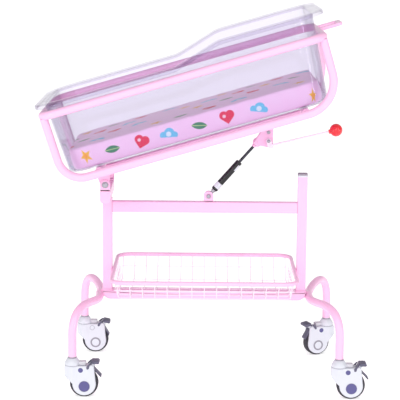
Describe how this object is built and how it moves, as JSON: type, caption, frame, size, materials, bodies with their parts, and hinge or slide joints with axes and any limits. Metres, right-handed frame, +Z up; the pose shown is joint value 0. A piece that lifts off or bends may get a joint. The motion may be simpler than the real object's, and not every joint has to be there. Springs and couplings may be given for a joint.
{
  "type": "hospital bassinet",
  "caption": "Wheeled newborn cot: a clear lift-out tub with a mattress in a tube frame that tilts on a locking gas spring, over a wire basket and braked swivel casters.",
  "frame": {"origin": "on the floor, under the middle of the object's bounding box", "axes": "+Z up, +X towards the raised head end with the push handle, -Y towards the near side in the picture"},
  "size_m": [0.8798, 0.4946, 1.0192],
  "materials": {
    "frame_paint": "gloss pink powder coat",
    "wire_paint": "gloss pink powder coat",
    "bolt_steel": "zinc plated",
    "pad_rubber": "matte",
    "knob_red": "gloss",
    "tub_clear": "clear, polished",
    "mattress_cover": "printed waterproof cover, satin",
    "gas_black": "gloss black",
    "rod_steel": "hard chromed rod",
    "caster_white": "moulded, satin gloss",
    "hub_grey": "moulded",
    "tyre_grey": "soft grey tread",
    "pedal_grey": "moulded, violet-grey"
  },
  "bodies": {
    "frame": {"lower_beam": "frame_paint", "foot_post": "frame_paint", "head_post": "frame_paint", "upper_beam": "frame_paint", "hinge_tube": "frame_paint", "rest_pad": "pad_rubber", "gas_clevis": "frame_paint", "gas_foot_pin": "bolt_steel", "basket_rim": "wire_paint", "basket_floor": "wire_paint", "basket_foot_wall": "wire_paint", "basket_head_wall": "wire_paint", "basket_near_wall": "wire_paint", "basket_far_wall": "wire_paint", "hinge_lug_near": "frame_paint", "hinge_lug_far": "frame_paint", "hinge_bolt_near": "bolt_steel", "hinge_bolt_far": "bolt_steel", "leg_foot_near": "frame_paint", "leg_foot_far": "frame_paint", "leg_head_near": "frame_paint", "leg_head_far": "frame_paint"},
    "cot": {"cot_ring": "frame_paint", "cot_hoop_near": "frame_paint", "cot_hoop_far": "frame_paint", "foot_cross_tube": "frame_paint", "head_cross_tube": "frame_paint", "cot_spine": "frame_paint", "push_handle": "frame_paint", "lever_bracket": "frame_paint", "gas_head_pin": "bolt_steel", "lever_bolt": "bolt_steel", "hinge_ear_near": "frame_paint", "hinge_ear_far": "frame_paint"},
    "lever": {"release_lever": "frame_paint", "lever_knob": "knob_red"},
    "tub": {"tub": "tub_clear"},
    "mattress": {"mattress": "mattress_cover"},
    "gas_tube": {"gas_cylinder": "gas_black"},
    "gas_piston": {"gas_rod": "rod_steel"},
    "caster_foot_near": {"caster_hood_foot_near": "caster_white", "caster_axle_foot_near": "bolt_steel"},
    "wheel_foot_near": {"wheel_hub_foot_near": "hub_grey", "tyre_foot_near": "tyre_grey"},
    "pedal_foot_near": {"brake_pedal_foot_near": "pedal_grey"},
    "caster_head_near": {"caster_hood_head_near": "caster_white", "caster_axle_head_near": "bolt_steel"},
    "wheel_head_near": {"wheel_hub_head_near": "hub_grey", "tyre_head_near": "tyre_grey"},
    "pedal_head_near": {"brake_pedal_head_near": "pedal_grey"},
    "caster_foot_far": {"caster_hood_foot_far": "caster_white", "caster_axle_foot_far": "bolt_steel"},
    "wheel_foot_far": {"wheel_hub_foot_far": "hub_grey", "tyre_foot_far": "tyre_grey"},
    "pedal_foot_far": {"brake_pedal_foot_far": "pedal_grey"},
    "caster_head_far": {"caster_hood_head_far": "caster_white", "caster_axle_head_far": "bolt_steel"},
    "wheel_head_far": {"wheel_hub_head_far": "hub_grey", "tyre_head_far": "tyre_grey"},
    "pedal_head_far": {"brake_pedal_head_far": "pedal_grey"}
  },
  "joints": [
    {"name": "cot_tilt", "type": "hinge", "parent": "frame", "child": "cot", "pos_m": [-0.26005, -0.00183, 0.544], "axis": [0, -1, 0], "range_deg": [-16.4, 0]},
    {"name": "gas_cylinder_swing", "type": "hinge", "parent": "frame", "child": "gas_tube", "pos_m": [0.01625, -0.00183, 0.5006], "axis": [0, -1, 0], "range_deg": [-35.42, 0.05]},
    {"name": "gas_rod_slide", "type": "slide", "parent": "gas_tube", "child": "gas_piston", "axis": [0.6602, 0, 0.7511], "range_m": [-0.05423, 0.0001]},
    {"name": "lever_pull", "type": "hinge", "parent": "cot", "child": "lever", "pos_m": [0.177, -0.01733, 0.6546], "axis": [0, -1, 0], "range_deg": [0, 8], "stiffness_Nm_per_rad": 1},
    {"name": "tub_lift", "type": "slide", "parent": "cot", "child": "tub", "axis": [-0.2823, 0, 0.9593], "range_m": [0, 0.25]},
    {"name": "mattress_lift", "type": "slide", "parent": "tub", "child": "mattress", "axis": [-0.2823, 0, 0.9593], "range_m": [0, 0.2]},
    {"name": "swivel_foot_near", "type": "hinge", "parent": "frame", "child": "caster_foot_near", "pos_m": [-0.33905, -0.22683, 0.1], "axis": [0, 0, 1], "continuous": true},
    {"name": "roll_foot_near", "type": "hinge", "parent": "caster_foot_near", "child": "wheel_foot_near", "pos_m": [-0.30805, -0.22683, 0.0375], "axis": [0, 1, 0], "continuous": true},
    {"name": "brake_foot_near", "type": "hinge", "parent": "caster_foot_near", "child": "pedal_foot_near", "pos_m": [-0.28905, -0.22683, 0.08], "axis": [0, 1, 0], "range_deg": [0, 12]},
    {"name": "swivel_head_near", "type": "hinge", "parent": "frame", "child": "caster_head_near", "pos_m": [0.36295, -0.22683, 0.1], "axis": [0, 0, 1], "continuous": true},
    {"name": "roll_head_near", "type": "hinge", "parent": "caster_head_near", "child": "wheel_head_near", "pos_m": [0.39395, -0.22683, 0.0375], "axis": [0, 1, 0], "continuous": true},
    {"name": "brake_head_near", "type": "hinge", "parent": "caster_head_near", "child": "pedal_head_near", "pos_m": [0.41295, -0.22683, 0.08], "axis": [0, 1, 0], "range_deg": [0, 12]},
    {"name": "swivel_foot_far", "type": "hinge", "parent": "frame", "child": "caster_foot_far", "pos_m": [-0.33905, 0.22317, 0.1], "axis": [0, 0, 1], "continuous": true},
    {"name": "roll_foot_far", "type": "hinge", "parent": "caster_foot_far", "child": "wheel_foot_far", "pos_m": [-0.30805, 0.22317, 0.0375], "axis": [0, 1, 0], "continuous": true},
    {"name": "brake_foot_far", "type": "hinge", "parent": "caster_foot_far", "child": "pedal_foot_far", "pos_m": [-0.28905, 0.22317, 0.08], "axis": [0, 1, 0], "range_deg": [-12, 0]},
    {"name": "swivel_head_far", "type": "hinge", "parent": "frame", "child": "caster_head_far", "pos_m": [0.36295, 0.22317, 0.1], "axis": [0, 0, 1], "continuous": true},
    {"name": "roll_head_far", "type": "hinge", "parent": "caster_head_far", "child": "wheel_head_far", "pos_m": [0.334, 0.21207, 0.0375], "axis": [0.3584, -0.9336, 0], "continuous": true},
    {"name": "brake_head_far", "type": "hinge", "parent": "caster_head_far", "child": "pedal_head_far", "pos_m": [0.31627, 0.20526, 0.08], "axis": [0.3584, -0.9336, 0], "range_deg": [-12, 0]}
  ],
  "couplings": [
    {"joint": "gas_cylinder_swing", "follows": "cot_tilt", "ratio": 2.1567},
    {"joint": "gas_rod_slide", "follows": "cot_tilt", "m_per_rad": 0.18913}
  ]
}
